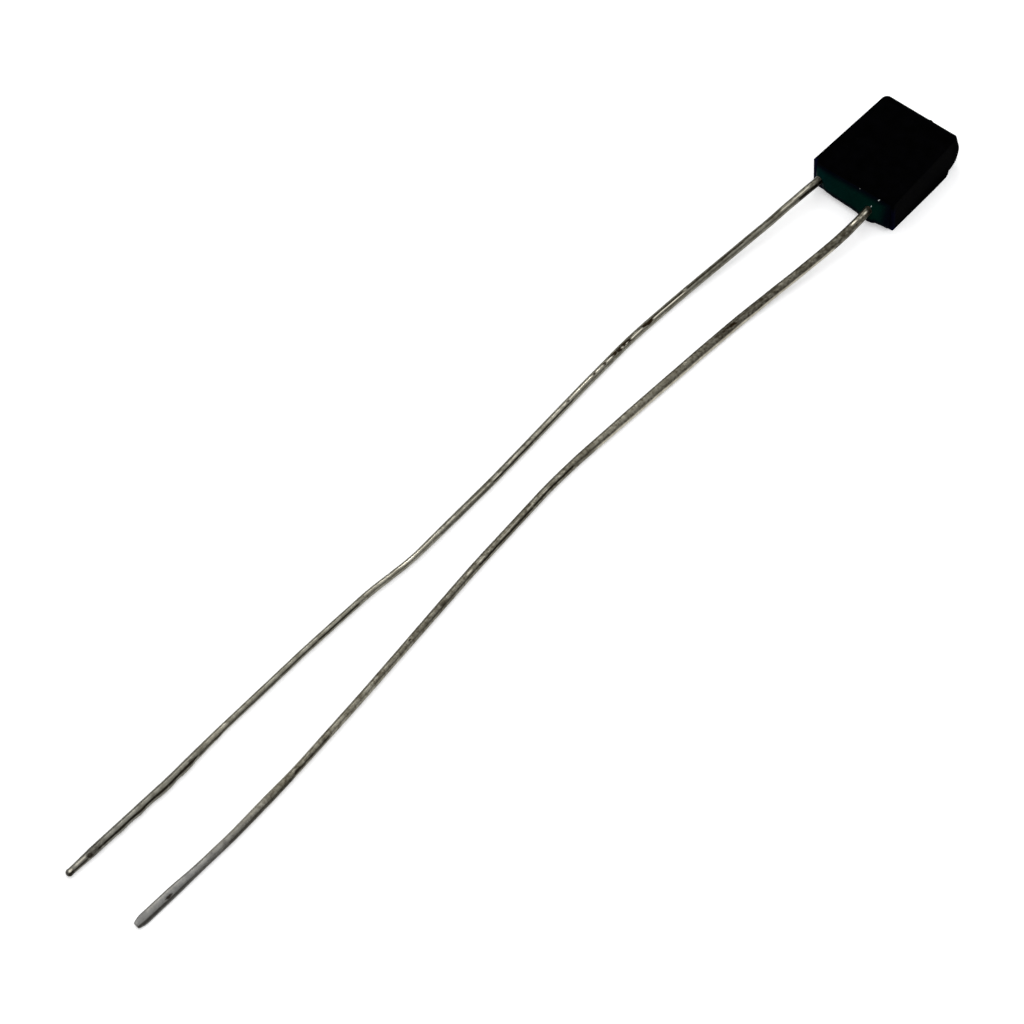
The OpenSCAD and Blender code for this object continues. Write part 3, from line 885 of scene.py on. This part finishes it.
def tinned_wire(name, clean, dull, roughness, speck_share, grey_share):
    """Hot-dipped tin over drawn copper: grey and half matt where it has dulled, cream and sharp
    where it is rubbed and where highlights are painted, dark where shade is painted, brown where
    a nick goes through to the copper. Die lines run along it, 0.03 mm apart in life and drawn at
    0.06 mm so that they show."""
    material, tree = new_material(name)
    straight = add_node(tree, "Attribute", attribute_name="straight").outputs["Vector"]
    dull_and_painted_shade, stained, rubbed_and_painted_highlight = (add_node(tree, "Attribute", attribute_name=layer).outputs["Fac"]
                              for layer in ("dull_and_painted_shade", "stained", "rubbed_and_painted_highlight"))
    drawn = add_node(tree, "VectorMath", {0: straight, 1: DIE_LINES_PER_MM}, operation="MULTIPLY")
    lines = add_node(tree, "TexNoise", {"Vector": drawn, "Scale": 1.0, "Detail": 2.0})
    blotch = add_node(tree, "TexNoise", {"Vector": straight, "Scale": BLOTCHES_PER_MM, "Detail": 4.0})
    grime_and_painted_shade = add_node(tree, "TexNoise", {"Vector": straight, "Scale": SPECKS_PER_MM, "Detail": 3.0})
    tin = add_node(tree, "ValToRGB", {"Fac": blotch},
                   stops=[(0.35, linear(dull)), (0.62, linear(clean))])
    speck = add_node(tree, "ValToRGB", {"Fac": grime_and_painted_shade},
                     stops=[(0.38, (0.45, 0.41, 0.35, 1)), (0.5, (1, 1, 1, 1)),
                            (0.6, (1, 1, 1, 1)), (0.7, (1.5, 1.47, 1.38, 1))])
    colour = add_node(tree, "Mix", {0: speck_share, 6: tin, 7: speck},
                      data_type="RGBA", blend_type="MULTIPLY").outputs[2]
    along = add_node(tree, "SeparateXYZ", {"Vector": straight})
    to_tip = add_node(tree, "MapRange", {"Value": along.outputs["X"], "From Min": GREY_FROM,
                                         "From Max": GREY_TO, "To Max": grey_share})
    # Grey tin, dark grime and painted shade, burnt copper, and bright rubbed tin and painted
    # highlights lie over it in turn
    for share, tone in ((to_tip, "#7f8082"), (dull_and_painted_shade, "#211e16"),
                        (stained, "#1e160a"), (rubbed_and_painted_highlight, "#ece5d2")):
        colour = add_node(tree, "Mix", {0: share, 6: colour, 7: linear(tone)},
                          data_type="RGBA").outputs[2]
    matt = add_node(tree, "MapRange", {"Value": blotch, "From Min": 0.35, "From Max": 0.65,
                                       "To Min": roughness + 0.08, "To Max": roughness - 0.06})
    sharper = add_node(tree, "Math", {0: rubbed_and_painted_highlight, 1: -0.12, 2: matt}, operation="MULTIPLY_ADD")
    relief = add_node(tree, "Bump", {"Height": lines, "Strength": 0.3, "Distance": 0.008 * MM})
    shader = add_node(tree, "BsdfPrincipled", {"Base Color": colour, "Metallic": 1.0,
                                               "Roughness": sharper, "Normal": relief})
    add_node(tree, "OutputMaterial", {"Surface": shader})
    return material


for wire, node, slot_name, material in (
    (left, "lead_left", "tinned_wire_bright",
     tinned_wire("tinned_copper_drawn", "#8b897d", "#747164", 0.36, 0.4, 0.25)),
    (right, "lead_right", "tinned_wire_dull",
     tinned_wire("tinned_copper_dulled", "#898679", "#6f6b5d", 0.42, 0.8, 0.65)),
):
    wire.data.materials.append(material)
    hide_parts(node)

# ----------------------------------------------------------------------------- fusible link
# A cast bar of low-melting alloy bridges the leads' inner ends and opens the circuit when it
# melts. The ends of the wires are let into it, and it has shrunk to a slight waist.
link_low, link_high = (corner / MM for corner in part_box("fusible_link"))
LINK_R = (link_high.z - link_low.z) / 2
LINK_Y = (link_low.y + link_high.y) / 2
LINK_STEPS = 72
LINK_SIDES = 40
DOME_L = 0.16
DOME_LEAST = 0.02
WAIST = 0.02
SKIN = 0.012
SKIN_DEEPER = 0.4
SKIN_PER_MM = 2.2
SKIN_PER_R = 2
rings = []
for i in range(LINK_STEPS + 1):
    part = i / LINK_STEPS
    x = link_low.x + (link_high.x - link_low.x) * (0.5 - 0.5 * math.cos(math.pi * part))
    to_end = min(x - link_low.x, link_high.x - x)
    dome = math.sqrt(max(DOME_LEAST, 1 - (1 - min(1.0, to_end / DOME_L)) ** 2))
    ring = []
    for j in range(LINK_SIDES):
        a = math.tau * j / LINK_SIDES
        uneven = noise.noise(Vector((SKIN_PER_MM * x, SKIN_PER_R * math.cos(a),
                                     SKIN_PER_R * math.sin(a))))
        r = LINK_R * dome * (1 - WAIST * math.sin(math.pi * part))
        r += min(0.0, SKIN * (uneven - SKIN_DEEPER))
        ring.append(Vector((x, LINK_Y + r * math.cos(a), LEAD_Z + r * math.sin(a))))
    rings.append(ring)
link = add_piece("alloy_link", *loft(rings))
link_space = add_piece("link_space", *loft(rings))
cut(link, holes(SEAL_Y, TAIL_Y, WIRE_R))

# Low-melting alloy, cast: bright grey, with frosted grains about 0.15 mm across
alloy, tree = new_material("low_melting_alloy_cast")
place = add_node(tree, "TexCoord").outputs["Object"]
grains = add_node(tree, "TexVoronoi", {"Vector": place, "Scale": 1 / (0.15 * MM)})
frost = add_node(tree, "SeparateXYZ", {"Vector": grains.outputs["Color"]})
grey = add_node(tree, "ValToRGB", {"Fac": frost.outputs["X"]},
                stops=[(0, linear("#a9acb1")), (1, linear("#c6c9cc"))])
matt = add_node(tree, "MapRange", {"Value": frost.outputs["Y"], "To Min": 0.28, "To Max": 0.45})
relief = add_node(tree, "Bump", {"Height": grains, "Strength": 0.3, "Distance": 0.01 * MM})
shader = add_node(tree, "BsdfPrincipled", {"Base Color": grey, "Metallic": 1.0,
                                           "Roughness": matt, "Normal": relief})
add_node(tree, "OutputMaterial", {"Surface": shader})
link.data.materials.append(alloy)
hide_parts("fusible_link")

# ------------------------------------------------------------------------------------- flux
# Waxy rosin flux is packed round the link and leaves an air space at the closed end of the
# cup. Its free face there is dished, since it climbed the walls as it set.
flux_low, flux_high = (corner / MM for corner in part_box("flux"))
FLUX_GAP = 0.01
FLUX_EDGE_R = 0.07
FLUX_STEPS = 24
DISH = 0.12
DISH_SUNK = 0.02
DISH_SUNK_BY = 0.25
DISH_STEPS = 13
DISH_WAVE = 0.015
DISH_WAVE_PER_MM = 2
dish_y = flux_high.y - DISH
rings = []
for i in range(FLUX_STEPS + 1):
    y = flux_low.y + (dish_y - flux_low.y) * i / FLUX_STEPS
    half_x = half_width(y) - WALL - FLUX_GAP
    rings.append(section_ring(y, half_x, half_x, WALL + FLUX_GAP, CUP_T - WALL - FLUX_GAP,
                              FLUX_EDGE_R, FLUX_EDGE_R))
rim = rings[-1]
for i in range(1, DISH_STEPS):
    part = i / DISH_STEPS
    level = dish_y + DISH * (1 - part) ** 3 - DISH_SUNK * smooth(part / DISH_SUNK_BY)
    ring = []
    for point in rim:
        x = point.x * (1 - part)
        z = LEAD_Z + (point.z - LEAD_Z) * (1 - part)
        wave = noise.noise(Vector((DISH_WAVE_PER_MM * x, 4, DISH_WAVE_PER_MM * z)))
        ring.append(Vector((x, level + DISH_WAVE * wave, z)))
    rings.append(ring)
flux = add_piece("rosin_flux", *loft(rings))
cut(flux, [link_space] + holes(SEAL_Y - HOLE_SPARE, TAIL_Y, WIRE_R))

# Rosin flux, cast: amber and waxy, clouded by crystals about 0.3 mm across
rosin, tree = new_material("amber_rosin_cast")
place = add_node(tree, "TexCoord").outputs["Object"]
cloud = add_node(tree, "TexNoise", {"Vector": place, "Scale": 1 / (0.3 * MM), "Detail": 5.0})
amber = add_node(tree, "ValToRGB", {"Fac": cloud},
                 stops=[(0.3, linear("#8a5a1c")), (0.7, linear("#caa050"))])
waxy = add_node(tree, "MapRange", {"Value": cloud, "To Min": 0.3, "To Max": 0.55})
relief = add_node(tree, "Bump", {"Height": cloud, "Strength": 0.3, "Distance": 0.02 * MM})
shader = add_node(tree, "BsdfPrincipled",
                  {"Base Color": amber, "Roughness": waxy, "IOR": 1.53, "Normal": relief})
add_node(tree, "OutputMaterial", {"Surface": shader})
flux.data.materials.append(rosin)
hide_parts("flux")

# -------------------------------------------------------------------------- floor and light
# A wide sheet of white card, turned up at its far edges and open above. Rays that look at it,
# or see it in metal, get it a little brighter, so that it reads as white and keeps the shadow.
CARD_LIFT = 0.4
CARD_SIDES = 96
CARD_PROFILE = [(4.6, 0), (5.1, 0.03), (5.5, 0.12), (5.8, 0.28), (5.95, 0.48), (6.0, 0.75)]
turns = [math.tau * i / CARD_SIDES for i in range(CARD_SIDES)]
points, faces = loft([[Vector((r * math.cos(a), r * math.sin(a), z)) for a in turns]
                      for r, z in CARD_PROFILE])
floor_mesh = bpy.data.meshes.new("card")
floor_mesh.from_pydata(points, [], faces[:-1])
floor = bpy.data.objects.new("white_card", floor_mesh)
bpy.context.scene.collection.objects.link(floor)
card, tree = new_material("white_card_matt")
rays = add_node(tree, "LightPath")
seen = add_node(tree, "Math", {0: rays.outputs["Is Camera Ray"],
                               1: rays.outputs["Is Glossy Ray"]}, operation="ADD")
seen = add_node(tree, "Math", {0: seen, 1: rays.outputs["Is Transmission Ray"]}, operation="ADD")
lift = add_node(tree, "Math", {0: seen, 1: CARD_LIFT}, operation="MULTIPLY", use_clamp=True)
paper = add_node(tree, "BsdfDiffuse", {"Color": (0.84, 0.84, 0.84, 1)})
glow = add_node(tree, "Emission", {"Strength": lift})
both = add_node(tree, "AddShader", {0: paper, 1: glow})
add_node(tree, "OutputMaterial", {"Surface": both})
floor_mesh.materials.append(card)

# A small lamp stands behind the part on the left, and most of the light comes softly from
# overhead: the room is bright at the top and dim towards its walls
KEY_FROM = Vector((-0.42, 0.47, 0.76))
key_light = bpy.data.lights.new("small_key", "SUN")
key_light.energy = 0.22
key_light.angle = math.radians(7)
key_light.color = (1.0, 0.985, 0.96)
key = bpy.data.objects.new("small_key", key_light)
key.rotation_mode = "QUATERNION"
key.rotation_quaternion = KEY_FROM.to_track_quat("Z", "Y")
bpy.context.scene.collection.objects.link(key)

WALL_GLOW = 0.12
OVERHEAD_GLOW = 1.6
room = bpy.data.worlds.new("room")
bpy.context.scene.world = room
room.use_nodes = True
tree = room.node_tree
tree.nodes.clear()
generated = add_node(tree, "TexCoord").outputs["Generated"]
toward = add_node(tree, "SeparateXYZ", {"Vector": generated})
height = add_node(tree, "Math", {0: toward.outputs["Z"], 1: 2.0}, operation="POWER")
level = add_node(tree, "Math", {0: height, 1: OVERHEAD_GLOW, 2: WALL_GLOW},
                 operation="MULTIPLY_ADD")
glow = add_node(tree, "Background", {"Color": (0.985, 0.99, 1.0, 1), "Strength": level})
add_node(tree, "OutputWorld", {"Surface": glow})

# ------------------------------------------------------------------------------------ camera
# A long lens looks down at the part from the right of its leads, as a hand-held close-up does
CAMERA_AT = (158.934, -215.5, 301.776)
CAMERA_TURNED = (38.592, 1.8045, 39.3953)
camera_data = bpy.data.cameras.new("camera")
camera_data.sensor_width = 36
camera_data.lens = 226.4
camera_data.clip_start = 0.01
camera_data.clip_end = 100
camera = bpy.data.objects.new("camera", camera_data)
camera.location = Vector(CAMERA_AT) * MM
camera.rotation_euler = [math.radians(a) for a in CAMERA_TURNED]
bpy.context.scene.collection.objects.link(camera)
bpy.context.scene.camera = camera
bpy.context.scene.view_settings.view_transform = "Standard"
